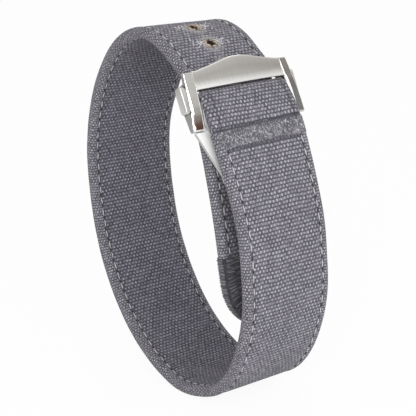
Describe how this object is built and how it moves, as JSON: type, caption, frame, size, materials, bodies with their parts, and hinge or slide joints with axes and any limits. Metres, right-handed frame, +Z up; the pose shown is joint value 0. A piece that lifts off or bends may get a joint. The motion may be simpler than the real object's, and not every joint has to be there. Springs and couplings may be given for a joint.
{
  "type": "nylon watch strap",
  "caption": "Closed loop of stitched nylon webbing with a steel folding clasp, side push buttons, an adjustment tail with round holes and a sewn spring bar loop.",
  "frame": {"origin": "the middle of the closed loop, on the axis of the wrist that wears it, midway across the strap's width", "axes": "+Y runs along the wrist, from the near edge to the far edge in the picture, +Z is up as pictured and the loop's longest way, +X is toward the clasp side"},
  "size_m": [0.0504, 0.0268, 0.0696],
  "materials": {
    "webbing": "plain-woven grey nylon canvas",
    "webbing_inner": "darker woven lining",
    "binding": "dense thread whipping",
    "thread": "light grey sewing thread",
    "brushed_steel": "satin with polished bevels",
    "plain_steel": "polished"
  },
  "bodies": {
    "strap": {"strap_cover": "webbing", "strap_core": "webbing_inner", "strap_lining": "webbing_inner", "tail_tip": "binding", "clasp_frame": "brushed_steel", "base_blade": "plain_steel", "strap_peg": "plain_steel", "hinge_pin": "plain_steel"},
    "fold": {"fold_blade": "plain_steel", "closure_cover": "webbing", "closure_core": "webbing_inner", "closure_lining": "webbing_inner", "cross_tack": "thread", "bar_barrel": "plain_steel", "bar_spring": "plain_steel"},
    "bar_tip_left": {"bar_tip_left": "plain_steel"},
    "bar_tip_right": {"bar_tip_right": "plain_steel"},
    "button_left": {"button_left": "brushed_steel"},
    "button_right": {"button_right": "brushed_steel"}
  },
  "joints": [
    {"name": "fold_hinge", "type": "hinge", "parent": "strap", "child": "fold", "pos_m": [0.01675, 0, 0.00946], "axis": [0, 1, 0], "range_deg": [0, 90]},
    {"name": "button_left_press", "type": "slide", "parent": "strap", "child": "button_left", "axis": [0, 1, 0], "range_m": [0, 0.0006], "stiffness_N_per_m": 300, "springref_m": -0.0002},
    {"name": "button_right_press", "type": "slide", "parent": "strap", "child": "button_right", "axis": [0, -1, 0], "range_m": [0, 0.0006], "stiffness_N_per_m": 300, "springref_m": -0.0002},
    {"name": "bar_tip_left_slide", "type": "slide", "parent": "fold", "child": "bar_tip_left", "axis": [0, 1, 0], "range_m": [0, 0.0006], "deforming": ["bar_spring"]},
    {"name": "bar_tip_right_slide", "type": "slide", "parent": "fold", "child": "bar_tip_right", "axis": [0, -1, 0], "range_m": [0, 0.0006], "deforming": ["bar_spring"]}
  ],
  "couplings": [
    {"joint": "bar_tip_left_slide", "follows": "button_left_press", "ratio": 1},
    {"joint": "bar_tip_right_slide", "follows": "button_right_press", "ratio": 1}
  ]
}
